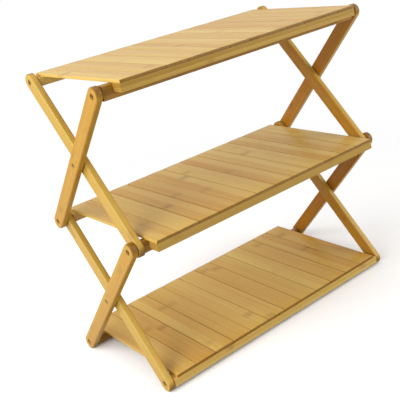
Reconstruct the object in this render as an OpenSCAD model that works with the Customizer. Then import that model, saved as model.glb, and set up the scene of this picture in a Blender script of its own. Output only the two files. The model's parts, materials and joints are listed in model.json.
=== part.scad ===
// Folding bookstand rack: two crossed pairs of legs on each side carry three slatted shelves.
// Millimetres. X runs along the shelves, Y to the back, Z up, and the feet stand on Z = 0.
// Each shelf turns on one pair of pins and hooks over a rail at its other edge.

/* [Rack] */
// Width over the outer legs
rack_w = 500; // [420:1:700]
// Depth from the front pins to the back pins
pin_depth = 202; // [185:1:240]
// Height from one row of pins to the next
tier_h = 220; // [205:1:260]

/* [Legs] */
// Width of a leg, seen from the side of the rack
leg_w = 22.5; // [20:0.5:28]
// Distance from the middle of a leg's end pin to the tip of the leg
leg_reach = 13.1; // [12:0.1:16]
// Thickness of a leg
leg_t = 10.2; // [8:0.1:14]
// Gap between the outer and the inner legs, which a washer keeps
leg_gap = 1.2; // [1:0.1:2]
// Bevel along the long edges and around the ends of a leg
leg_bevel = 1.2; // [0.4:0.1:2]

/* [Slats] */
// Number of slats in each shelf
slat_count = 12; // [8:1:12]
// Thickness of a slat
slat_t = 4.5; // [3:0.5:8]
// Open seam between two slats
seam = 0.5; // [0.2:0.1:1.5]
// Bevel along the top edges of a slat
slat_bevel = 0.7; // [0.2:0.1:1.2]
// Gap between the end slats and the inner legs
end_gap = 7.4; // [2:0.1:10]
// How far the slats reach past the pins they turn on
slat_overhang = 10.6; // [8:0.1:12]

// Height of the slats' underside above the pins they turn on
slat_lift = 5.2; // [4:0.1:8]
// Angle at which the bottom shelf rises from its pins to its rail, in degrees
bottom_rise = 0; // [0:0.1:2]
// Angle at which the middle shelf rises from its pins to its rail, in degrees
middle_rise = 1; // [0:0.1:2]
// Angle at which the top shelf rises from its pins to its rail, in degrees
top_rise = 1.6; // [0:0.1:2]

/* [Battens] */
// Height of the batten that turns on the pins
pivot_batten_h = 13; // [11:0.5:16]
// Width of the batten that turns on the pins
pivot_batten_w = 24; // [20:0.5:30]
// Height of the batten that hooks over a rail
hook_batten_h = 12; // [9:0.5:16]
// Width of the batten that hooks over a rail
hook_batten_w = 20; // [14:0.5:26]
// Radius of the hooking batten's lower edge next to the rail
hook_round = 5; // [2:0.5:8]
// Radius of the pivot batten's lower edges
batten_round = 2; // [1:0.5:4]

/* [Rails] */
// How far the rails reach below the pins
rail_drop = 9.8; // [6:0.1:11]
// Thickness of a rail
rail_t = 12; // [9:0.5:16]
// Bevel along the long edges of a rail
rail_bevel = 1; // [0.4:0.1:2]

/* [Screws] */
// Diameter of a screw's shank
screw_d = 5; // [4:0.5:6]
// How deep a screw reaches into the end of a rail or batten
screw_grip = 30; // [20:1:50]
// Length of a screw's point
screw_point = 5; // [3:0.5:8]
// Diameter of a screw's head
head_d = 8; // [7:0.5:10]
// Height of a screw's head
head_h = 2.4; // [1.5:0.1:3]
// Width across the corners of the six-sided socket in a head
socket_d = 4.4; // [3:0.1:5]
// Depth of the socket
socket_h = 1.6; // [0.8:0.1:2]
// How deep a screw's head lies below the face of its leg
head_sink = 1.6; // [0.6:0.1:3]

/* [Cross pins] */
// Diameter of the pin where two legs cross
cross_d = 4.6; // [4:0.1:6]
// Diameter of a cross pin's head
cross_head_d = 6.2; // [5.6:0.1:8]
// Height of a cross pin's head
cross_head_h = 1.6; // [1:0.1:2.5]
// How deep a cross pin's head lies below the face of the outer leg
cross_sink = 0.8; // [0.3:0.1:2]
// Wood left between the blind end of a cross pin's bore and the inner leg's inner face
cross_wall = 1.8; // [1:0.1:3]

/* [Washers] */
// Outer diameter of a washer
washer_d = 13; // [11:0.5:16]
// Outer diameter of the spacers at the ends of the top and bottom rails
spacer_d = 10.5; // [9:0.5:14]
// Length of those spacers
spacer_l = 3; // [2:0.5:9]
// Play on each side of a washer that runs between two legs
washer_play = 0.2; // [0.1:0.05:0.3]

/* [Fits] */
// Radial clearance of screws and pins in their bores
pin_clearance = 0.05; // [0.02:0.01:0.1]
// Radial gap round a head in its counterbore
head_clearance = 0.4; // [0.2:0.1:0.8]
// Gap under a head in its counterbore, and past the end of a pin in its blind bore
head_play = 0.2; // [0.1:0.05:0.3]
// Gap between the slats and the rail they rest on
seat_gap = 0.3; // [0.2:0.05:0.5]
// Gap between the hooking batten and its rail on the bottom and middle shelves
hook_gap = 7.4; // [0.4:0.1:10]
// The same gap on the top shelf
top_hook_gap = 0.6; // [0.4:0.1:10]
// Gap between the end of a rail or batten and the inner leg beside it
side_gap = 0.6; // [0.3:0.1:1.5]

/* [Hidden] */
$fn = 64;
arc_steps = 8;
cut = 1; // how far a cutting tool runs past the face it opens

bamboo_leg = "#E3B565";
bamboo_rail = "#B98F45";
bamboo_batten = "#C4A55E";
bamboo_slats = ["#D9BA82", "#D3B276", "#DDC08B", "#CFAE70"];
steel = "#8C8982";

front_y = -pin_depth / 2;
back_y = pin_depth / 2;
leg_l = sqrt(pin_depth * pin_depth + tier_h * tier_h);
lean = atan2(pin_depth, tier_h);
round_z = leg_reach - leg_w / 2; // centre of a leg's rounded end, beyond its pin

// Rows of pins, from the bottom to the top
foot_z = round_z * cos(lean) + leg_w / 2;
pin_z = [foot_z, foot_z + tier_h, foot_z + 2 * tier_h];

// Faces from the outside of the rack inwards, as distances from its middle
outer_face = rack_w / 2;
outer_back = outer_face - leg_t;
inner_face = outer_back - leg_gap;
inner_back = inner_face - leg_t;
batten_end = inner_back - side_gap;
shelf_end = inner_back - end_gap;
rail_end = outer_back - spacer_l;

slat_pitch = 2 * shelf_end / slat_count;

screw_bore = screw_d + 2 * pin_clearance;
head_bore = head_d + 2 * head_clearance;
head_bore_depth = head_sink + head_h + head_play;
cross_bore = cross_d + 2 * pin_clearance;
cross_head_bore = cross_head_d + 2 * head_clearance;
cross_head_depth = cross_sink + cross_head_h + head_play;

SIDES = ["left", "right"];
TIERS = ["bottom", "middle", "top"];
RISES = [bottom_rise, middle_rise, top_rise];

// Points of an arc round [x, y] from angle a to angle b
function arc(x, y, r, a, b) =
    [for (i = [0 : arc_steps]) let (t = a + (b - a) * i / arc_steps) [x + r * cos(t), y + r * sin(t)]];

// A rectangle from [x0, y0] to [x1, y1] with its four corners cut by c
function bevelled(x0, y0, x1, y1, c) = [
    [x0 + c, y0], [x1 - c, y0], [x1, y0 + c], [x1, y1 - c],
    [x1 - c, y1], [x0 + c, y1], [x0, y1 - c], [x0, y0 + c]
];

// Distance from a shelf's pins to the near and the far side of its hooking batten
function hook_near(tier) = pin_depth + rail_t / 2 + (tier == 2 ? top_hook_gap : hook_gap);
function hook_far(tier) = hook_near(tier) + hook_batten_w;

// Height of a tier's rail above its pins, where the rising slats rest on it
function rail_top(tier) =
    (pin_depth - rail_t / 2) * tan(RISES[tier]) + slat_lift / cos(RISES[tier]) - seat_gap;

// Turns a shape so that its +Z runs along +X
module along_x() rotate([0, 90, 0]) children();

// Extrudes a profile of [y, z] points along X from x0 to x1
module bar_x(x0, x1, points)
    translate([x0, 0, 0]) rotate([90, 0, 90]) linear_extrude(x1 - x0) polygon(points);

module hole_x(x0, x1, d) translate([x0, 0, 0]) along_x() cylinder(h = x1 - x0, d = d);

// Puts a part that is drawn for the left side on the side asked for
module on_side(side) mirror([side == "right" ? 1 : 0, 0, 0]) children();

module on_both_sides() for (side = SIDES) on_side(side) children();

// ---- Legs ----

// The rounded end of a leg, with its bevel on both faces
module leg_end()
    along_x() rotate_extrude() polygon([
        [0, 0], [leg_w / 2 - leg_bevel, 0], [leg_w / 2, leg_bevel],
        [leg_w / 2, leg_t - leg_bevel], [leg_w / 2 - leg_bevel, leg_t], [0, leg_t]
    ]);

// A leg that stands on its lower pin at the origin, with its outer face on X = 0.
// low_head and high_head say which end pins have a counterbore for a screw's head, and
// cross_head whether the cross pin's head lies in this leg or its end in a blind bore.
module leg(low_head, high_head, cross_head)
    difference() {
        union() {
            translate([0, 0, -round_z]) leg_end();
            translate([0, 0, leg_l + round_z]) leg_end();
            translate([0, 0, -round_z]) linear_extrude(leg_l + 2 * round_z)
                polygon(bevelled(0, -leg_w / 2, leg_t, leg_w / 2, leg_bevel));
        }
        for (z = [0, leg_l])
            translate([0, 0, z]) hole_x(-cut, leg_t + cut, screw_bore);
        if (low_head) hole_x(-cut, head_bore_depth, head_bore);
        if (high_head) translate([0, 0, leg_l]) hole_x(-cut, head_bore_depth, head_bore);
        translate([0, 0, leg_l / 2]) {
            hole_x(-cut, cross_head ? leg_t + cut : leg_t - cross_wall, cross_bore);
            if (cross_head) hole_x(-cut, cross_head_depth, cross_head_bore);
        }
    }

// Outer legs run up to the front, inner legs up to the back
module outer_leg(side, z)
    color(bamboo_leg) on_side(side) translate([-outer_face, back_y, z]) rotate([lean, 0, 0])
        leg(true, true, true);

module inner_leg(side, z, low_head)
    color(bamboo_leg) on_side(side) translate([-inner_face, front_y, z]) rotate([-lean, 0, 0])
        leg(low_head, !low_head, false);

// ---- Rails ----

// A tier's rail at the depth y, its ends at end_x from the middle and bored for screws
module rail(tier, y, end_x)
    color(bamboo_rail) translate([0, y, pin_z[tier]]) difference() {
        bar_x(-end_x, end_x, bevelled(-rail_t / 2, -rail_drop, rail_t / 2, rail_top(tier), rail_bevel));
        on_both_sides() hole_x(-end_x - cut, -end_x + screw_grip + cut, screw_bore);
    }

// ---- Shelves ----

// Moves a shelf from its own frame, with the pins at the origin and the hook towards +Y
module in_tier(tier)
    translate([0, tier == 0 ? front_y : back_y, pin_z[tier]])
        mirror([0, tier == 0 ? 0 : 1, 0]) rotate([RISES[tier], 0, 0]) children();

module pivot_batten()
    color(bamboo_batten) difference() {
        low = slat_lift - pivot_batten_h + batten_round;
        half = pivot_batten_w / 2;
        bar_x(-batten_end, batten_end, concat(
            arc(-half + batten_round, low, batten_round, 180, 270),
            arc(half - batten_round, low, batten_round, 270, 360),
            [[half, slat_lift], [-half, slat_lift]]
        ));
        on_both_sides() hole_x(-batten_end - cut, -batten_end + screw_grip + cut, screw_bore);
    }

module hook_batten(tier)
    color(bamboo_batten) {
        low = slat_lift - hook_batten_h;
        bar_x(-shelf_end, shelf_end, concat(
            arc(hook_near(tier) + hook_round, low + hook_round, hook_round, 180, 270),
            [[hook_far(tier), low], [hook_far(tier), slat_lift], [hook_near(tier), slat_lift]]
        ));
    }

// Slat number i of a tier, counted from the left
module slat(tier, i)
    color(bamboo_slats[i % len(bamboo_slats)])
    translate([-shelf_end + (i - 1) * slat_pitch, hook_far(tier), slat_lift]) rotate([90, 0, 0])
        linear_extrude(hook_far(tier) + slat_overhang) polygon([
            [seam / 2, 0], [slat_pitch - seam / 2, 0], [slat_pitch - seam / 2, slat_t - slat_bevel],
            [slat_pitch - seam / 2 - slat_bevel, slat_t], [seam / 2 + slat_bevel, slat_t],
            [seam / 2, slat_t - slat_bevel]
        ]);

// ---- Screws, pins and washers ----

// A screw whose head lies in the face at distance face, and whose point ends at distance tip
module screw(face, tip)
    color(steel) translate([-face + head_sink, 0, 0]) along_x() difference() {
        length = face - tip - head_sink;
        union() {
            cylinder(h = head_h, d = head_d);
            cylinder(h = length - screw_point, d = screw_d);
            translate([0, 0, length - screw_point]) cylinder(h = screw_point, d1 = screw_d, d2 = 1);
        }
        translate([0, 0, -cut]) cylinder(h = socket_h + cut, d = socket_d, $fn = 6);
    }

// A ring of diameter d between the distances x0 and x1, x0 the farther out
module ring(x0, x1, d)
    color(steel) difference() {
        hole_x(-x0, -x1, d);
        hole_x(-x0 - cut, -x1 + cut, screw_bore);
    }

module running_washer() ring(outer_back - washer_play, inner_face + washer_play, washer_d);

// The spacer between an outer leg and the end of a long rail
module spacer() ring(outer_back, rail_end, spacer_d);

// The screws of one row of pins on both sides, with the washers on them
module screw_row(y, z, face, tip)
    translate([0, y, z]) on_both_sides() {
        screw(face, tip);
        children();
    }

// The pin where an outer and an inner leg cross, its head in the outer leg
module cross_pins(z)
    color(steel) translate([0, 0, z]) on_both_sides() {
        out = outer_face - cross_sink;
        hole_x(-out, -inner_back - cross_wall - head_play, cross_d);
        hole_x(-out, -out + cross_head_h, cross_head_d);
    }

// ---- The rack ----

for (side = SIDES) {
    outer_leg(side, pin_z[1]);
    inner_leg(side, pin_z[1], false);
    outer_leg(side, pin_z[0]);
    inner_leg(side, pin_z[0], true);
}

rail(2, front_y, rail_end);  // top_front_rail
rail(1, front_y, batten_end);  // middle_front_rail
rail(0, back_y, rail_end);  // bottom_back_rail

for (tier = [0 : 2]) {
    in_tier(tier) pivot_batten();
    in_tier(tier) hook_batten(tier);
    for (i = [1 : slat_count])
        in_tier(tier) slat(tier, i);
}

screw_row(front_y, pin_z[2], outer_face, rail_end - screw_grip) spacer();  // top_front_screws
screw_row(back_y, pin_z[2], inner_face, batten_end - screw_grip);  // top_back_screws
screw_row(back_y, pin_z[1], outer_face, batten_end - screw_grip) running_washer();  // middle_back_screws
screw_row(front_y, pin_z[0], inner_face, batten_end - screw_grip);  // bottom_front_screws
union() {  // lower_frame_screws
    screw_row(back_y, pin_z[0], outer_face, rail_end - screw_grip) spacer();
    screw_row(front_y, pin_z[1], outer_face, batten_end - screw_grip) running_washer();
}
cross_pins(pin_z[1] + tier_h / 2);  // upper_cross_pins
cross_pins(pin_z[0] + tier_h / 2);  // lower_cross_pins
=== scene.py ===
"""The finish of a folding bamboo rack: slats, bars, screws and a small white studio.

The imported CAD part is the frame: X runs along the shelves, Y to the back, Z up, in metres.
Legs, rails, battens and screws stay as they are in it, with softened edges and their finish.
The slats are made anew here, each a little different from the next as planed bamboo is.
"""

import json
from math import atan2, cos, pi, radians, sin

import bpy
import numpy as np
from mathutils import Matrix, Vector


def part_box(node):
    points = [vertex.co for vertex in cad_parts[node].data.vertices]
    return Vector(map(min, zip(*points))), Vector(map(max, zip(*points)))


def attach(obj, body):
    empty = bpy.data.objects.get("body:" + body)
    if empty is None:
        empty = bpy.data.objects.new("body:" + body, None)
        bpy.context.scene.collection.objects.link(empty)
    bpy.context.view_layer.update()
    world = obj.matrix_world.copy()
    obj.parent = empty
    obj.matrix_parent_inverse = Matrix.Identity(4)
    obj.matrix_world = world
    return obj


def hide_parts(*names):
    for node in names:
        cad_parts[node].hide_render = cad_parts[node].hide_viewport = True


bl_info = {
    "name": "Folding Bamboo Rack Finish",
    "version": (1, 0, 0),
    "blender": (4, 5, 0),
    "location": "3D View > Sidebar > Rack",
    "description": "Gives a folding bamboo rack its slats, varnished bamboo, steel screws and studio",
    "category": "Object",
}

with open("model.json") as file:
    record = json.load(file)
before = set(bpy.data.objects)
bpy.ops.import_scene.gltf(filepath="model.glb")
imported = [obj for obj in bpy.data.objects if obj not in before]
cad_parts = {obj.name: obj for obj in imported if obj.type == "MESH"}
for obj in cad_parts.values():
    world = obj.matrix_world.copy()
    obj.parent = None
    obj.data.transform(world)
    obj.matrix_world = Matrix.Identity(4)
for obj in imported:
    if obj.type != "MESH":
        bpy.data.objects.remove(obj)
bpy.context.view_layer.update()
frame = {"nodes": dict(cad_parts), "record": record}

MM = 0.001
TIERS = ("bottom", "middle", "top")
# Each shelf rises from its pins to the rail that it hooks over, by this angle in degrees
RISES = {"bottom": 0.0, "middle": 1.0, "top": 1.6}
# The bottom shelf turns on its front pins and runs back, the others turn on their back pins
RUNS = {"bottom": 1.0, "middle": -1.0, "top": -1.0}


def linear(code):
    """Turns an sRGB colour such as #D9B57C into the linear red, green and blue that shaders use."""
    parts = [int(code[i:i + 2], 16) / 255 for i in (1, 3, 5)]
    return [c / 12.92 if c <= 0.04045 else ((c + 0.055) / 1.055) ** 2.4 for c in parts]


def nodes_named(word):
    """The frame's nodes whose name holds a word; there has to be at least one."""
    names = [name for name in frame["nodes"] if word in name]
    if not names:
        raise RuntimeError("the frame has no piece named " + word)
    return names


def joint_place(name):
    """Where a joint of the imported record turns, in metres."""
    joints = frame["record"]["behaviour"]["joints"]
    return np.array([joint["pos_m"] for joint in joints if joint["name"] == name][0])


# ---- Sizes and colours that a user may change ----


def length(name, description, default, top):
    """A length in metres, shown in the scene's units."""
    return bpy.props.FloatProperty(
        name=name, description=description, default=default, min=0.0, max=top,
        precision=5, unit="LENGTH", subtype="DISTANCE")


def colour(name, description, code):
    """A colour, whose default is given as an sRGB hex value."""
    return bpy.props.FloatVectorProperty(
        name=name, description=description, default=linear(code), min=0.0, max=1.0,
        size=3, subtype="COLOR")


def share(name, description, default, top=1.0):
    """A plain number from 0 to top."""
    return bpy.props.FloatProperty(
        name=name, description=description, default=default, min=0.0, max=top, subtype="FACTOR")


def lamp_power(name, description, default):
    """The power of a lamp in watts."""
    return bpy.props.FloatProperty(
        name=name, description=description, default=default, min=0.0, max=500.0, unit="POWER")


class RackShape(bpy.types.PropertyGroup):
    """Sizes of the slats and of the softened edges."""

    slat_edge: length("Slat Edge", "Radius of a slat's long upper edges", 0.9 * MM, 2 * MM)
    slat_foot: length("Slat Foot", "Radius of a slat's other edges", 0.3 * MM, 1 * MM)
    slat_crown: length("Slat Crown", "How much lower a slat's edges lie", 0.12 * MM, 1 * MM)
    slat_twist: length("Slat Twist", "How far a slat's face tips from edge to edge", 0.14 * MM, 1 * MM)
    soft_edge: length("Soft Edge", "Width of the rounding on the bars' edges", 0.45 * MM, 1 * MM)
    screw_edge: length("Screw Edge", "Width of the rounding on the screws' edges", 0.15 * MM, 0.4 * MM)


class BambooLook(bpy.types.PropertyGroup):
    """Colours and grain of the varnished bamboo."""

    slat_pale: colour("Slat Pale", "Pale strips in the slats and pivot battens", "#D2B361")
    slat_deep: colour("Slat Deep", "Deep strips in the slats and pivot battens", "#BB8938")
    # The legs' deep colours also serve as the painted shade on their inner sides, which look into the
    # rack
    outer_pale: colour("Outer Leg Pale", "Bark side of the strips in the outer legs", "#BA9137")
    outer_deep: colour("Outer Leg Deep", "Pith side of the strips in the outer legs", "#A76813")
    inner_pale: colour("Inner Leg Pale", "Bark side of the strips in the inner legs", "#C09F47")
    inner_deep: colour("Inner Leg Deep", "Pith side of the strips in the inner legs", "#AD761D")
    hook_pale: colour("Hook Batten Pale", "Pale strips in the hook battens", "#BC994A")
    hook_deep: colour("Hook Batten Deep", "Deep strips in the hook battens", "#9B7629")
    # The rails' colours are partly their own deeper tone and partly painted shade, as the rails lie in
    # the shade under the shelves
    rail_pale: colour("Rail Pale", "Pale strips in the rails", "#B08634")
    rail_deep: colour("Rail Deep", "Deep strips in the rails", "#8E5E1B")
    knuckle: colour("Knuckle", "Brown of the knuckles, pores, glue lines and seams", "#70400F")
    # The brown of the cut ends; on the slats' front ends it is partly painted shade
    end_grain_and_shade: colour("End Grain", "Brown of the cut ends", "#6E4702")
    knuckle_gap: length("Knuckle Gap", "Distance between two knuckles of a cane", 310 * MM, 1000 * MM)
    knuckle_depth: share("Knuckle Strength", "How strongly the knuckles show", 1.0)
    streak: length("Streak", "Width of the broad streaks in the grain", 5.0 * MM, 20 * MM)
    fibre: length("Fibre", "Width of a bundle of fibres, wider than real to show", 0.9 * MM, 5 * MM)
    pore: length("Pore", "Width of the dark pores", 0.45 * MM, 2 * MM)
    pore_depth: share("Pore Strength", "How strongly the pores show", 0.3)
    glue: length("Glue Line", "How far a glue line's stain reaches", 0.45 * MM, 2 * MM)
    glue_depth: share("Glue Strength", "How strongly the glue lines show", 0.4)
    # The seams' darkening is dirt and painted shade in the open gaps between slats
    seam: length("Seam Stain", "How far the stain of a seam between two slats reaches", 1.1 * MM, 3 * MM)
    seam_depth: share("Seam Strength", "How strongly the seams between slats show", 1.0)
    # Full strength on the slats' ends, where the brown is partly painted shade along the shelves' edges
    end_brown_and_shade: share("End Strength", "How brown the cut ends of the slats and legs are", 1.0)
    bar_end_depth: share("Bar End Strength", "How brown the cut ends of the rails and battens are", 0.3)
    contrast: share("Grain Contrast", "How much of the tone comes from streaks within a strip", 0.4)
    # How far the painted shade deepens the legs' inner sides
    inner_side_shade: share("Pith Side", "How much deeper a leg gets from its outer side to its inner one", 0.6)
    gloss: share("Gloss", "How much of the surface the varnish covers", 0.32)


class SteelLook(bpy.types.PropertyGroup):
    """Colours of the screws, washers, spacers and pins."""

    pale: colour("Steel Pale", "Where the oxide film is thin", "#B39B68")
    deep: colour("Steel Deep", "Where the oxide film is thick", "#665334")


class StudioLook(bpy.types.PropertyGroup):
    """Light and background."""

    floor: colour("Floor", "Colour of the floor, as its light falls back on the rack", "#ACACAC")
    ambient: share("Ambient", "Level of the light from all round", 0.52, top=3.0)
    left: lamp_power("Left Lamp", "Power of the soft lamp on the left", 22.0)
    left_back: lamp_power("Left Back Lamp", "Power of the soft lamp behind on the left", 18.0)
    right_front: lamp_power("Right Front Lamp", "Power of the soft lamp in front on the right", 18.0)
    top: lamp_power("Top Lamp", "Power of the soft lamp above", 5.0)


# ---- Materials ----

# Lengths among these numbers are in millimetres

# Streaks, bundles of fibres and pores are this many times as long as they are wide
STREAK_RUN = 55
FIBRE_RUN = 80
PORE_RUN = 22
# Share of the bundles of fibres in the streaks of a strip; the rest are the broad streaks
FIBRE_SHARE = 0.4
# The noise at which a strip is pale, and the one at which it is deep
STREAK_NOISE = (0.34, 0.66)
# The noise from which a pore shows, and the one at which it is darkest
PORE_NOISE = (0.6, 0.74)
# Each strip reads its grain from a place of its own in the noise, up to this far off in X, Y and Z
STRIP_SHIFT = 400.0
# Places across a leg, as shares of its thickness, where the painted shade on its inner side begins and
# where it is deepest
INNER_SHADE_PLACES = (-0.2, -0.5)
# Half the width and the strength of a knuckle's ring, and of the brown bloom round it
RING = (1.4, 0.8)
BLOOM = (13.0, 0.7)
# How far a ring wavers, and about the length over which it does
WAVER = 9.0
# Share of the strips whose knuckles don't show at all
PLAIN_STRIPS = 0.2
# Strength of the faintest glue line or seam, as a share of the strongest
FAINTEST_LINE = 0.25
# Depths under the face of a square end, and of a round one, to which its brown is full and fades out
SQUARE_RIM = (0.2, 0.4)
ROUND_RIM = (0.6, 1.3)
# How far along a round end, as shares of its radius, the brown begins and is full
ROUND_TURN = (0.2, 0.9)
# Distance between the speckles of a cut end, wider than a real bundle of fibres, to show
SPECKLE = 1.1
# Where a speckle begins to pale and where it is palest, as shares of SPECKLE from its middle
SPECKLE_REACH = (0.1, 0.7)
# How brown its edge still is
SPECKLE_EDGE = 0.7
# Widths of the patches in the steel's film and of its turning marks, drawn wider than real to show
FILM_PATCH = 2.5
TURNING_MARK = 0.3
# Roughness of the wood under its varnish, and of the steel, at these two values of their noise
NOISE_RANGE = (0.3, 0.7)
WOOD_ROUGH = (0.42, 0.62)
STEEL_ROUGH = (0.35, 0.6)


def add(tree, kind, inputs=None, **settings):
    """Adds a shader node with its settings and inputs, and gives its outputs.

    An input's key is its name, or its number where the node has several of that name: 6 and 7 are
    the two colours of a Mix node. Its value is a number, a vector, a colour of three numbers, or
    another node's output that it reads.
    """
    made = tree.nodes.new("ShaderNode" + kind)
    for name, value in settings.items():
        setattr(made, name, value)
    for name, value in (inputs or {}).items():
        socket = made.inputs[name]
        if isinstance(value, bpy.types.NodeSocket):
            tree.links.new(value, socket)
        elif socket.type == "RGBA":
            socket.default_value = (*value, 1.0)
        else:
            socket.default_value = value
    return made.outputs


def new_material(name):
    """An empty material and its node tree."""
    material = bpy.data.materials.new(name)
    material.use_nodes = True
    material.node_tree.nodes.clear()
    return material, material.node_tree


def grain_turn(across, along):
    """The turn that brings a piece's width to X and its grain to Y."""
    return Matrix((across, along, Vector(across).cross(Vector(along)))).to_euler()


def bamboo(title, tones, size, count, turn, centre, pair=0.0, radius=0.0, slats=0):
    """Strips of bamboo, glued side by side and in layers, planed, and sealed with a clear varnish.

    The eye sees strips that differ a little in tone, pale and deep streaks and short dark pores that
    run along them, a faint brown knuckle where the cane was jointed, fine dark glue lines, brown
    speckled cut ends, and over it all a soft gloss. Some of this colour is painted shade: the brown of
    the slats' front ends, the dark seams between slats, and the deeper inner side of each leg.
    centre and turn bring the piece to its own millimetres: X runs across the strips, Y along the
    grain, Z through the layers. size is its extent along these in metres, and count the number of
    strips and of layers in it. tones is the word that its two colours begin with.
    pair is how far a left and a right piece that share the finish lie from the rack's middle in X.
    radius is that of a leg's round ends. slats is the number of slats, where the piece is a shelf.
    """
    look = bpy.context.scene.bamboo_look
    material, tree = new_material(title)
    mm = add(tree, "Mapping", {
        "Vector": add(tree, "TexCoord")["Object"], "Rotation": turn, "Scale": (1 / MM,) * 3,
        "Location": -(turn.to_matrix() @ Vector(centre)) / MM})["Vector"]
    across, along, through = add(tree, "SeparateXYZ", {"Vector": mm})[:3]
    side = add(tree, "Math", {0: across}, operation="SIGN")[0]
    if pair:
        outward = add(tree, "Math", {0: across}, operation="ABSOLUTE")[0]
        across = add(tree, "Math", {0: outward, 1: pair / MM}, operation="SUBTRACT")[0]

    # Each strip of each layer has its own chances, and its own place in the noise
    strips = numbered(tree, across, size[0], count[0])
    layers = numbered(tree, through, size[2], count[1])
    seed = add(tree, "CombineXYZ", {
        "X": add(tree, "Math", {0: strips}, operation="FLOOR")[0],
        "Y": add(tree, "Math", {0: layers}, operation="FLOOR")[0],
        "Z": add(tree, "Math", {0: side, 1: (centre[2] + pair) / MM}, operation="ADD")[0]})[0]
    chance = add(tree, "TexWhiteNoise", {"Vector": seed}, noise_dimensions="3D")
    chances = add(tree, "SeparateColor", {"Color": chance["Color"]})
    apart = add(tree, "VectorMath", {0: chance["Color"], "Scale": STRIP_SHIFT}, operation="SCALE")[0]
    strand = add(tree, "VectorMath", {0: mm, 1: apart}, operation="ADD")[0]

    # The tone goes by the strip, and within it by its streaks
    broad = grain(tree, strand, look.streak, STREAK_RUN, detail=2.0)
    fine = grain(tree, strand, look.fibre, FIBRE_RUN, detail=3.0)
    streaks = add(tree, "Mix", {"Factor": FIBRE_SHARE, "A": broad, "B": fine})[0]
    streaky = add(tree, "MapRange", {
        "Value": streaks, "From Min": STREAK_NOISE[0], "From Max": STREAK_NOISE[1]})[0]
    tone = add(tree, "Mix", {"Factor": look.contrast, "A": chance["Value"], "B": streaky})[0]
    if pair:
        # Painted shade: each leg is drawn deeper towards its inner side, which looks into the rack where
        # the shelves shade it
        begins, deepest = (place * size[0] / MM for place in INNER_SHADE_PLACES)
        shaded_inner_side = add(tree, "MapRange", {"Value": across, "From Min": begins, "From Max": deepest})[0]
        tone = add(tree, "Mix", {"Factor": look.inner_side_shade, "A": tone, "B": shaded_inner_side})[0]
    pale, deep = getattr(look, tones + "_pale"), getattr(look, tones + "_deep")
    wood = add(tree, "Mix", {"Factor": tone, 6: pale, 7: deep}, data_type="RGBA")[2]

    # The darkest of the knuckles, the pores and the glue lines shows; in a shelf, dirt and painted shade
    # in the open seams between its slats take the place of the glue lines
    pores = grain(tree, strand, look.pore, PORE_RUN, detail=1.0)
    dashes = add(tree, "MapRange", {
        "Value": pores, "From Min": PORE_NOISE[0], "From Max": PORE_NOISE[1],
        "To Max": look.pore_depth})[0]
    if slats:
        seams = numbered(tree, across, size[0], slats)
        lines = [lines_between(tree, seams, slats, look.seam / size[0], look.seam_depth)]
    else:
        lines = [lines_between(tree, strips, count[0], look.glue / size[0], look.glue_depth),
                 lines_between(tree, layers, count[1], look.glue / size[2], look.glue_depth)]
    dark = knuckles(tree, strand, along, chances, look)
    for mark in (dashes, *lines):
        dark = add(tree, "Math", {0: dark, 1: mark}, operation="MAXIMUM")[0]
    marked = add(tree, "Mix", {"Factor": dark, 6: wood, 7: look.knuckle}, data_type="RGBA")[2]

    # Cut ends drink the varnish, so they are brown, and speckled by the ends of the fibres; on the
    # slats' front ends the full brown also stands for the shade along the shelves' edges, as painted
    # shade
    cut = cut_end(tree, along, through, size, radius)
    speckle = add(tree, "TexVoronoi", {"Vector": mm, "Scale": 1 / SPECKLE})["Distance"]
    brown = add(tree, "MapRange", {
        "Value": speckle, "From Min": SPECKLE_REACH[0], "From Max": SPECKLE_REACH[1],
        "To Min": 1.0, "To Max": SPECKLE_EDGE})[0]
    speckled = add(tree, "Math", {0: cut, 1: brown}, operation="MULTIPLY")[0]
    end_brown_and_shade = look.end_brown_and_shade if slats or radius else look.bar_end_depth
    browner = add(tree, "Math", {0: speckled, 1: end_brown_and_shade}, operation="MULTIPLY")[0]
    shown = add(tree, "Mix", {"Factor": browner, 6: marked, 7: look.end_grain_and_shade}, data_type="RGBA")[2]

    rough = add(tree, "MapRange", {
        "Value": fine, "From Min": NOISE_RANGE[0], "From Max": NOISE_RANGE[1],
        "To Min": WOOD_ROUGH[0], "To Max": WOOD_ROUGH[1]})[0]
    relief = add(tree, "Math", {0: fine, 1: dark}, operation="SUBTRACT")[0]
    bump = add(tree, "Bump", {"Height": relief, "Distance": 0.08 * MM, "Strength": 0.5})[0]
    surface = add(tree, "BsdfPrincipled", {
        "Base Color": shown, "Roughness": rough, "Normal": bump, "IOR": 1.45, "Specular IOR Level": 0.1,
        "Coat Weight": look.gloss, "Coat Roughness": 0.25, "Coat IOR": 1.5})[0]
    add(tree, "OutputMaterial", {"Surface": surface})
    return material


def numbered(tree, place, extent, count):
    """Counts through a piece's equal parts, from just over 0 at one face to just under count.

    It stays clear of 0 and count themselves, so that a face is never taken for the part beyond it.
    """
    clear = 0.001
    return add(tree, "MapRange", {
        "Value": place, "From Min": -extent / MM / 2, "From Max": extent / MM / 2,
        "To Min": clear, "To Max": count - clear})[0]


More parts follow.
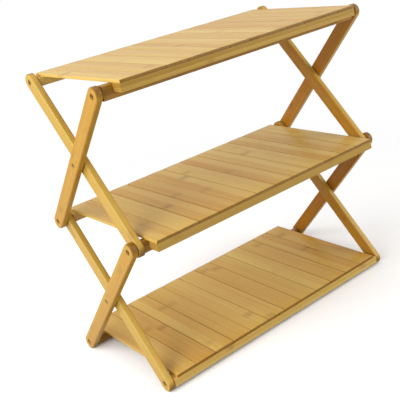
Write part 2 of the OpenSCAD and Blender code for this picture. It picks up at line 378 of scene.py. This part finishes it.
def lines_between(tree, place, count, reach, depth):
    """Darkens where each two of count parts meet, some of them fainter than others: a glue line's stain,
    or in a shelf the dirt and painted shade of an open seam.

    place is the parts' number. reach is how far a darkening goes to either side, as a share of the
    piece.
    """
    inside = add(tree, "Clamp", {"Value": place, "Min": 0.5, "Max": count - 0.5})[0]
    away = add(tree, "Math", {0: inside, 1: 0.5}, operation="PINGPONG")[0]
    darkening = add(tree, "MapRange", {
        "Value": away, "From Max": reach * count, "To Min": depth, "To Max": 0.0})[0]
    number = add(tree, "Math", {0: inside}, operation="ROUND")[0]
    chance = add(tree, "TexWhiteNoise", {"W": number}, noise_dimensions="1D")["Value"]
    strength = add(tree, "MapRange", {"Value": chance, "To Min": FAINTEST_LINE})[0]
    return add(tree, "Math", {0: darkening, 1: strength}, operation="MULTIPLY")[0]


def grain(tree, strand, width, run, detail):
    """Noise drawn out along Y, in patches of a width in metres and about run times as long."""
    drawn = add(tree, "VectorMath", {0: strand, 1: (MM / width, MM / (run * width), MM / width)},
                operation="MULTIPLY")[0]
    return add(tree, "TexNoise", {"Vector": drawn, "Scale": 1.0, "Detail": detail})[0]


def knuckles(tree, strand, along, chances, look):
    """The cane's joints: a thin wavering ring in a brown bloom, at its own height in each strip.

    The distance to the nearest ring goes up and down along the grain between 0 and half the gap.
    WAVER times a noise of about a half, less half of WAVER, is added to it.
    """
    cycle = add(tree, "Math", {0: along, 1: MM / look.knuckle_gap, 2: chances[0]},
                operation="MULTIPLY_ADD")[0]
    turned = add(tree, "Math", {0: cycle, 1: 0.5}, operation="PINGPONG")[0]
    away = add(tree, "Math", {0: turned, 1: look.knuckle_gap / MM, 2: -WAVER / 2},
               operation="MULTIPLY_ADD")[0]
    waver = add(tree, "TexNoise", {"Vector": strand, "Scale": 1 / WAVER, "Detail": 2.0})[0]
    bent = add(tree, "Math", {0: waver, 1: WAVER, 2: away}, operation="MULTIPLY_ADD")[0]
    distance = add(tree, "Math", {0: bent}, operation="ABSOLUTE")[0]
    ring, bloom = (
        add(tree, "MapRange", {"Value": distance, "From Max": reach, "To Min": strength, "To Max": 0.0},
            interpolation_type="SMOOTHSTEP")[0] for reach, strength in (RING, BLOOM))
    mark = add(tree, "Math", {0: ring, 1: bloom}, operation="MAXIMUM")[0]
    patchy = add(tree, "Math", {0: mark, 1: waver}, operation="MULTIPLY")[0]
    depth = add(tree, "MapRange", {
        "Value": chances[1], "From Min": PLAIN_STRIPS, "To Max": look.knuckle_depth})[0]
    return add(tree, "Math", {0: patchy, 1: depth}, operation="MULTIPLY")[0]


def cut_end(tree, along, through, size, radius):
    """1 on the ends of a piece, where its fibres are cut, and 0 on its faces and long edges.

    A square end lies half the piece's length from its middle. A round one lies on the rim, a radius
    from the end's centre, and shows more the further it turns across the fibres.
    """
    out = add(tree, "Math", {0: along}, operation="ABSOLUTE")[0]
    half, curve = size[1] / MM / 2, radius / MM
    if not radius:
        return add(tree, "MapRange", {
            "Value": out, "From Min": half - SQUARE_RIM[1], "From Max": half - SQUARE_RIM[0]})[0]
    beyond = add(tree, "MapRange", {
        "Value": out, "From Min": half - curve, "From Max": half, "To Max": curve})[0]
    spot = add(tree, "CombineXYZ", {"X": through, "Y": beyond})[0]
    far = add(tree, "VectorMath", {0: spot}, operation="LENGTH")["Value"]
    rim = add(tree, "MapRange", {
        "Value": far, "From Min": curve - ROUND_RIM[1], "From Max": curve - ROUND_RIM[0]})[0]
    facing = add(tree, "MapRange", {
        "Value": beyond, "From Min": ROUND_TURN[0] * curve, "From Max": ROUND_TURN[1] * curve})[0]
    return add(tree, "Math", {0: rim, 1: facing}, operation="MULTIPLY")[0]


def steel():
    """Turned steel with a thin oxide film: dull yellow-brown, mottled, with a dulled gloss."""
    look = bpy.context.scene.steel_look
    material, tree = new_material("Oxidised turned steel")
    mm = add(tree, "Mapping", {
        "Vector": add(tree, "TexCoord")["Object"], "Scale": (1 / MM,) * 3})["Vector"]
    film = add(tree, "TexNoise", {"Vector": mm, "Scale": 1 / FILM_PATCH, "Detail": 4.0})[0]
    marks = add(tree, "TexNoise", {"Vector": mm, "Scale": 1 / TURNING_MARK, "Detail": 2.0})[0]
    tint = add(tree, "Mix", {"Factor": film, 6: look.pale, 7: look.deep}, data_type="RGBA")[2]
    rough = add(tree, "MapRange", {
        "Value": marks, "From Min": NOISE_RANGE[0], "From Max": NOISE_RANGE[1],
        "To Min": STEEL_ROUGH[0], "To Max": STEEL_ROUGH[1]})[0]
    bump = add(tree, "Bump", {"Height": marks, "Distance": 0.02 * MM, "Strength": 0.4})[0]
    surface = add(tree, "BsdfPrincipled", {
        "Base Color": tint, "Metallic": 1.0, "Roughness": rough, "Normal": bump})[0]
    add(tree, "OutputMaterial", {"Surface": surface})
    return material


def dress(names, material):
    """Gives frame nodes a material."""
    for name in names:
        node = frame["nodes"][name]
        if not node.material_slots:
            node.data.materials.append(None)
        for held in node.material_slots:
            held.link = "OBJECT"
            held.material = material


# Points of a frame node nearer than this are one point
JOIN_WITHIN = 0.002 * MM
# Faces that lie within the first angle of each other are one flat; edges from the second are rounded
FLAT_WITHIN = radians(0.5)
EDGE_FROM = radians(20)


def soften(names, width):
    """Rounds the edges of frame nodes: their loose triangles are joined, and flat faces merged first."""
    for name in names:
        node = frame["nodes"][name]
        weld = node.modifiers.new("Join", "WELD")
        weld.merge_threshold = JOIN_WITHIN
        flat = node.modifiers.new("Merge Flats", "DECIMATE")
        flat.decimate_type = "DISSOLVE"
        flat.angle_limit = FLAT_WITHIN
        bevel = node.modifiers.new("Soft Edge", "BEVEL")
        bevel.width = width
        bevel.segments = 2
        bevel.limit_method = "ANGLE"
        bevel.angle_limit = EDGE_FROM


# ---- Slats ----

# Points on a slat's corner, across its top, round its end's edge, and along it between its ends
CORNER_POINTS = 5
TOP_POINTS = 9
END_POINTS = 4
LONG_POINTS = 13
# A slat's face is tipped evenly by up to 1, and sways about that by this much
SWAY = 0.5
# From this seed come the slats' own twists, the same each time
TWIST_SEED = 12
# Each slat is glued up from this many strips
STRIPS_PER_SLAT = 2


def slat_outline(width, thick, edge, foot, crown):
    """A slat seen from its end, as (across, up) points.

    The outline is a rectangle whose corners are quarter circles of radius edge above and foot
    below. The top sinks by crown (2 across / width) squared, fading to nothing at the foot.
    """
    turn = np.linspace(0, pi / 2, CORNER_POINTS)
    half = width / 2
    corners = ((half - edge, thick - edge, edge, 0.0), (edge - half, thick - edge, edge, pi / 2),
               (foot - half, foot, foot, pi), (half - foot, foot, foot, 1.5 * pi))
    arcs = [np.column_stack([x + r * np.cos(start + turn), z + r * np.sin(start + turn)])
            for x, z, r, start in corners]
    face = np.linspace(half - edge, edge - half, TOP_POINTS)[1:-1]
    top = np.column_stack([face, np.full(face.size, thick)])
    outline = np.concatenate([arcs[0], top, *arcs[1:]])
    outline[:, 1] -= crown * (outline[:, 0] / half) ** 2 * outline[:, 1] / thick
    return outline


def slat_surface(low, high, shape, chance):
    """One slat in its shelf's own frame, as a grid of points: stations along it, points round it.

    The outline is carried from end to end. Within foot of an end it draws in by
    foot (1 - sin a), where a goes from 0 at the end face to a right angle, so the end is rounded.
    The face is tipped by tip (2 across / width), which sways along the slat by a sine and fades to
    nothing at the foot. From edge to edge it comes to the slat's twist at most.
    """
    width, span, thick = high - low
    foot = shape.slat_foot
    outline = slat_outline(width, thick, shape.slat_edge, foot, shape.slat_crown)
    turn = np.linspace(0, pi / 2, END_POINTS)
    ease = foot * (1 - np.cos(turn))
    draw = foot * (1 - np.sin(turn))
    body = np.linspace(foot, span - foot, LONG_POINTS)[1:-1]
    stations = np.concatenate([ease, body, span - ease[::-1]])
    inset = np.concatenate([draw, np.zeros(body.size), draw[::-1]])
    grid = np.zeros((stations.size, len(outline), 3))
    grid[..., 0] = outline[:, 0] * (1 - inset[:, None] / (width / 2))
    grid[..., 1] = stations[:, None]
    grid[..., 2] = thick / 2 + (outline[:, 1] - thick / 2) * (1 - inset[:, None] / (thick / 2))
    sway = chance.uniform(-1, 1) + SWAY * np.sin(pi * stations / span * 2 + chance.uniform(0, 2 * pi))
    most = shape.slat_twist / 2 / (1 + SWAY)
    tip = most * sway[:, None] * grid[..., 0] / (width / 2) * grid[..., 2] / thick
    # The slat is lowered by the most that it tips up anywhere, so it stays within its own height
    grid[..., 2] += tip - np.abs(tip).max() * grid[..., 2] / thick
    return grid + np.array([(low[0] + high[0]) / 2, low[1], low[2]])


def closed_mesh(name, grid):
    """A mesh from a grid that goes round on its second axis, closed by a face at each end.

    The faces are turned over if the volume that they enclose comes out negative.
    """
    rows, around = grid.shape[:2]
    index = np.arange(rows * around).reshape(rows, around)
    beside = np.roll(index, -1, axis=1)
    quads = np.stack([index[:-1], beside[:-1], beside[1:], index[1:]], axis=-1).reshape(-1, 4)
    points = grid.reshape(-1, 3)
    corner = points[quads]
    volume = np.einsum("ij,ij->", corner[:, 0], np.cross(corner[:, 1], corner[:, 2])
                       + np.cross(corner[:, 2], corner[:, 3]))
    ends = [index[0][::-1], index[-1]]
    faces = [*quads.tolist(), *(end.tolist() for end in ends)]
    mesh = bpy.data.meshes.new(name)
    mesh.from_pydata(points, [], faces)
    if volume < 0:
        mesh.flip_normals()
    mesh.shade_smooth()
    return mesh


def node_points(name):
    """The points of a frame node's mesh."""
    mesh = frame["nodes"][name].data
    points = np.empty(len(mesh.vertices) * 3)
    mesh.vertices.foreach_get("co", points)
    return points.reshape(-1, 3)


def shelf_box(names, pins, axes):
    """The lowest and highest corners of some slats, along their shelf's own axes and from its pins."""
    local = np.concatenate([(node_points(name) - pins) @ axes.T for name in names])
    return local.min(axis=0), local.max(axis=0)


def slat_seam(names):
    """Width of the open seam between two slats."""
    sides = sorted((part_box(name)[0][0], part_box(name)[1][0]) for name in names)
    return sides[1][0] - sides[0][1]


class RACK_OT_slats(bpy.types.Operator):
    """Make the slats anew, each with its own slight tilt, and give them their bamboo"""

    bl_idname = "rack.slats"
    bl_label = "Slats"

    def execute(self, context):
        shape = context.scene.rack_shape
        chance = np.random.default_rng(TWIST_SEED)
        for tier in TIERS:
            pins = joint_place(tier + "_shelf_turn")
            rise, run = radians(RISES[tier]), RUNS[tier]
            # Rows are the shelf's own axes: across the slats, along them from the pins, and up
            axes = np.array([(1, 0, 0), (0, run * cos(rise), sin(rise)),
                             (0, -run * sin(rise), cos(rise))])
            names = nodes_named(tier + "_slat_")
            low, high = shelf_box(names, pins, axes)
            middle = pins + (low + high) / 2 @ axes
            size = high - low + np.array([slat_seam(names), 0, 0])
            material = bamboo(
                "Varnished bamboo slats, " + tier, "slat", size, (STRIPS_PER_SLAT * len(names), 1),
                grain_turn(axes[0], axes[1]), middle, slats=len(names))
            for name in names:
                grid = slat_surface(*shelf_box([name], pins, axes), shape, chance)
                mesh = closed_mesh(name + "_planed", grid @ axes + pins)
                mesh.materials.append(material)
                slat = bpy.data.objects.new(name + "_planed", mesh)
                context.scene.collection.objects.link(slat)
                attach(slat, tier + "_shelf")
                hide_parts(name)
        return {"FINISHED"}


# ---- Legs, rails, battens and screws ----

# A leg is glued up from this many strips through its thickness, and layers across its width
LEG_STRIPS = (2, 3)
# Thickness of the strips that rails and battens are glued up from
BAR_STRIP = 6 * MM
# The pivot battens are cut from the same pale strips as the slats; the rails' deeper colours are partly
# their own tone and partly painted shade
BAR_TONES = {"_rail": "rail", "_pivot_batten": "slat", "_hook_batten": "hook"}


class RACK_OT_legs(bpy.types.Operator):
    """Soften the legs' edges and give each its bamboo, with the grain along the leg"""

    bl_idname = "rack.legs"
    bl_label = "Legs"

    def execute(self, context):
        pins = [joint_place("bottom_shelf_turn"), joint_place("middle_shelf_turn")]
        depth, height = pins[1][1] - pins[0][1], pins[1][2] - pins[0][2]
        lean = atan2(depth, height)
        for half in ("upper", "lower"):
            for layer, towards in (("outer", -1.0), ("inner", 1.0)):
                names = nodes_named(half + "_" + layer + "_leg_")
                low, high = (Vector(corner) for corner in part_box(names[0]))
                middle, thick = (low + high) / 2, high[0] - low[0]
                # A leg whose round ends have a radius r and their centres at c from its middle is
                # 2 c sin(lean) + 2 r deep and 2 c cos(lean) + 2 r high
                span = (high[2] - low[2]) - (high[1] - low[1])
                reach = span / (cos(lean) - sin(lean)) / 2
                radius = (high[2] - low[2]) / 2 - reach * cos(lean)
                material = bamboo(
                    "Varnished bamboo, " + half + " " + layer + " legs", layer,
                    (thick, 2 * (reach + radius), 2 * radius), LEG_STRIPS,
                    grain_turn((1, 0, 0), (0, towards * sin(lean), cos(lean))),
                    (0, middle[1], middle[2]), pair=abs(middle[0]), radius=radius)
                dress(names, material)
                soften(names, context.scene.rack_shape.soft_edge)
        return {"FINISHED"}


class RACK_OT_rails(bpy.types.Operator):
    """Soften the rails' and battens' edges and give them their bamboo, with the grain along the rack"""

    bl_idname = "rack.rails"
    bl_label = "Rails and Battens"

    def execute(self, context):
        for word, tones in BAR_TONES.items():
            names = nodes_named(word)
            for name in names:
                low, high = (Vector(corner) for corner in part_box(name))
                span, deep, tall = high - low
                # Each bar is glued up from strips that lie flat, as wide as it is deep
                material = bamboo(
                    "Varnished bamboo, " + name.replace("_", " "), tones, (tall, span, deep),
                    (round(tall / BAR_STRIP), 1), grain_turn((0, 0, 1), (1, 0, 0)), (low + high) / 2)
                dress([name], material)
            soften(names, context.scene.rack_shape.soft_edge)
        return {"FINISHED"}


class RACK_OT_screws(bpy.types.Operator):
    """Give the screws, washers, spacers and cross pins their dull steel"""

    bl_idname = "rack.screws"
    bl_label = "Screws and Pins"

    def execute(self, context):
        names = nodes_named("_screws") + nodes_named("_pins")
        dress(names, steel())
        soften(names, context.scene.rack_shape.screw_edge)
        return {"FINISHED"}


# ---- Studio ----

# The camera, from the photograph: where it stands in metres, and its turns in degrees
CAMERA_PLACE = (-0.6894, -0.9411, 0.6563)
CAMERA_YAW = 36.244
CAMERA_PITCH = 19.761
CAMERA_ROLL = -10.035
# The photograph is 400 pixels wide; its focal length and its optical centre in those pixels
PHOTO_WIDTH = 400
FOCAL_PIXELS = 755.57
CENTRE_PIXELS = (220.17, 175.35)
SENSOR_MM = 36.0

# Each soft lamp's name, setting, width in metres and place; they all face one point of the rack
LAMPS = (
    ("Left Lamp", "left", 1.2, (-1.7, -0.5, 0.9)),
    ("Left Back Lamp", "left_back", 1.2, (-1.5, 0.6, 1.3)),
    ("Right Front Lamp", "right_front", 1.2, (1.2, -1.3, 0.9)),
    ("Top Lamp", "top", 1.5, (0.0, 0.0, 1.9)),
)
LAMP_TARGET = Vector((0.0, 0.0, 0.22))

WHITE = (1.0, 1.0, 1.0)
# How far the floor reaches from the middle, how far it lies under the feet, and its points each way
FLOOR_REACH = 4.0
FLOOR_DROP = 0.05 * MM
FLOOR_POINTS = 9
# Width of the paper's fibres, drawn wider than real to show
PAPER_FIBRE = 2.5 * MM
# The floor shows its light and shade up to the first distance, and is plain white from the second
WHITE_FROM = 0.5
WHITE_FULL = 1.1


def place_camera():
    """A camera that frames the rack as the photograph does."""
    data = bpy.data.cameras.new("Photo Camera")
    data.sensor_width = SENSOR_MM
    data.lens = SENSOR_MM * FOCAL_PIXELS / PHOTO_WIDTH
    data.shift_x = 0.5 - CENTRE_PIXELS[0] / PHOTO_WIDTH
    data.shift_y = CENTRE_PIXELS[1] / PHOTO_WIDTH - 0.5
    camera = bpy.data.objects.new("Photo Camera", data)
    turns = (Matrix.Rotation(radians(-CAMERA_YAW), 4, "Z"),
             Matrix.Rotation(radians(90 - CAMERA_PITCH), 4, "X"),
             Matrix.Rotation(radians(CAMERA_ROLL), 4, "Z"))
    camera.matrix_world = Matrix.Translation(CAMERA_PLACE) @ turns[0] @ turns[1] @ turns[2]
    bpy.context.scene.collection.objects.link(camera)
    bpy.context.scene.camera = camera


def place_lamp(name, power, width, place):
    """A square soft lamp that faces the rack."""
    data = bpy.data.lights.new(name, "AREA")
    data.energy = power
    data.size = width
    lamp = bpy.data.objects.new(name, data)
    turn = (LAMP_TARGET - Vector(place)).to_track_quat("-Z", "Y")
    lamp.matrix_world = Matrix.Translation(place) @ turn.to_matrix().to_4x4()
    bpy.context.scene.collection.objects.link(lamp)


def white_surroundings(level):
    """Plain light from all round at a level, with a white background for eye, gloss and glass."""
    world = bpy.data.worlds.new("White Studio")
    world.use_nodes = True
    tree = world.node_tree
    tree.nodes.clear()
    light = add(tree, "Background", {"Color": WHITE, "Strength": level})[0]
    white = add(tree, "Background", {"Color": WHITE, "Strength": 1.0})[0]
    both = add(tree, "MixShader", {0: seen_directly(tree), 1: light, 2: white})[0]
    add(tree, "OutputWorld", {"Surface": both})
    bpy.context.scene.world = world


def seen_directly(tree):
    """1 for the eye, in gloss and through glass, 0 for the light that bounces off the rack."""
    path = add(tree, "LightPath")
    seen = add(tree, "Math", {0: path["Is Camera Ray"], 1: path["Is Glossy Ray"]},
               operation="MAXIMUM")[0]
    return add(tree, "Math", {0: seen, 1: path["Is Transmission Ray"]}, operation="MAXIMUM")[0]


def floor_paper(tint):
    """Matt paper with faint fibres: to the eye white with soft shadows, and plain white further away.

    The light that it throws back on the rack has the tint.
    """
    material, tree = new_material("Matt white paper")
    place = add(tree, "TexCoord")["Object"]
    fibres = add(tree, "TexNoise", {"Vector": place, "Scale": 1 / PAPER_FIBRE, "Detail": 2.0})[0]
    bump = add(tree, "Bump", {"Height": fibres, "Distance": 0.05 * MM, "Strength": 0.2})[0]
    seen = seen_directly(tree)
    paper = add(tree, "Mix", {"Factor": seen, 6: tint, 7: WHITE}, data_type="RGBA")[2]
    lit = add(tree, "BsdfDiffuse", {"Color": paper, "Normal": bump})[0]
    white = add(tree, "Emission", {"Color": WHITE, "Strength": 1.0})[0]
    far = add(tree, "VectorMath", {0: place}, operation="LENGTH")["Value"]
    fade = add(tree, "MapRange", {"Value": far, "From Min": WHITE_FROM, "From Max": WHITE_FULL},
               interpolation_type="SMOOTHSTEP")[0]
    faded = add(tree, "Math", {0: fade, 1: seen}, operation="MULTIPLY")[0]
    both = add(tree, "MixShader", {0: faded, 1: lit, 2: white})[0]
    add(tree, "OutputMaterial", {"Surface": both})
    return material


def floor_sheet(material):
    """A flat sheet just under the feet: a square grid over x and y, with z constant."""
    marks = np.linspace(-FLOOR_REACH, FLOOR_REACH, FLOOR_POINTS)
    x, y = np.meshgrid(marks, marks)
    points = np.stack([x, y, np.full(x.shape, -FLOOR_DROP)], axis=-1).reshape(-1, 3)
    index = np.arange(x.size).reshape(x.shape)
    quads = np.stack([index[:-1, :-1], index[:-1, 1:], index[1:, 1:], index[1:, :-1]], axis=-1)
    mesh = bpy.data.meshes.new("floor")
    mesh.from_pydata(points, [], quads.reshape(-1, 4).tolist())
    mesh.materials.append(material)
    sheet = bpy.data.objects.new("floor", mesh)
    bpy.context.scene.collection.objects.link(sheet)


class RACK_OT_studio(bpy.types.Operator):
    """Set the floor, the lamps, the white surroundings and the camera"""

    bl_idname = "rack.studio"
    bl_label = "Studio"

    def execute(self, context):
        look = context.scene.studio_look
        context.scene.view_settings.view_transform = "Standard"
        white_surroundings(look.ambient)
        floor_sheet(floor_paper(look.floor))
        for name, setting, width, place in LAMPS:
            place_lamp(name, getattr(look, setting), width, place)
        place_camera()
        return {"FINISHED"}


# ---- The add-on ----

STEPS = (RACK_OT_slats, RACK_OT_legs, RACK_OT_rails, RACK_OT_screws, RACK_OT_studio)
GROUPS = {"rack_shape": RackShape, "bamboo_look": BambooLook, "steel_look": SteelLook,
          "studio_look": StudioLook}


class RACK_PT_finish(bpy.types.Panel):
    """Lists the rack's steps and what can be changed"""

    bl_label = "Folding Rack"
    bl_idname = "RACK_PT_finish"
    bl_space_type = "VIEW_3D"
    bl_region_type = "UI"
    bl_category = "Rack"

    def draw(self, context):
        for step in STEPS:
            self.layout.operator(step.bl_idname)
        for group in GROUPS:
            settings = getattr(context.scene, group)
            box = self.layout.box()
            for name in settings.__annotations__:
                box.prop(settings, name)


def register():
    """Registers the classes and hangs the settings on the scene."""
    for kind in (*GROUPS.values(), *STEPS, RACK_PT_finish):
        bpy.utils.register_class(kind)
    for name, kind in GROUPS.items():
        setattr(bpy.types.Scene, name, bpy.props.PointerProperty(type=kind))


def unregister():
    """Takes the settings and the classes away again."""
    for name in GROUPS:
        delattr(bpy.types.Scene, name)
    for kind in (RACK_PT_finish, *reversed(STEPS), *reversed(list(GROUPS.values()))):
        bpy.utils.unregister_class(kind)


def main():
    """Runs every step in order."""
    register()
    for step in STEPS:
        group, name = step.bl_idname.split(".")
        getattr(getattr(bpy.ops, group), name)()


if __name__ == "__main__":
    main()
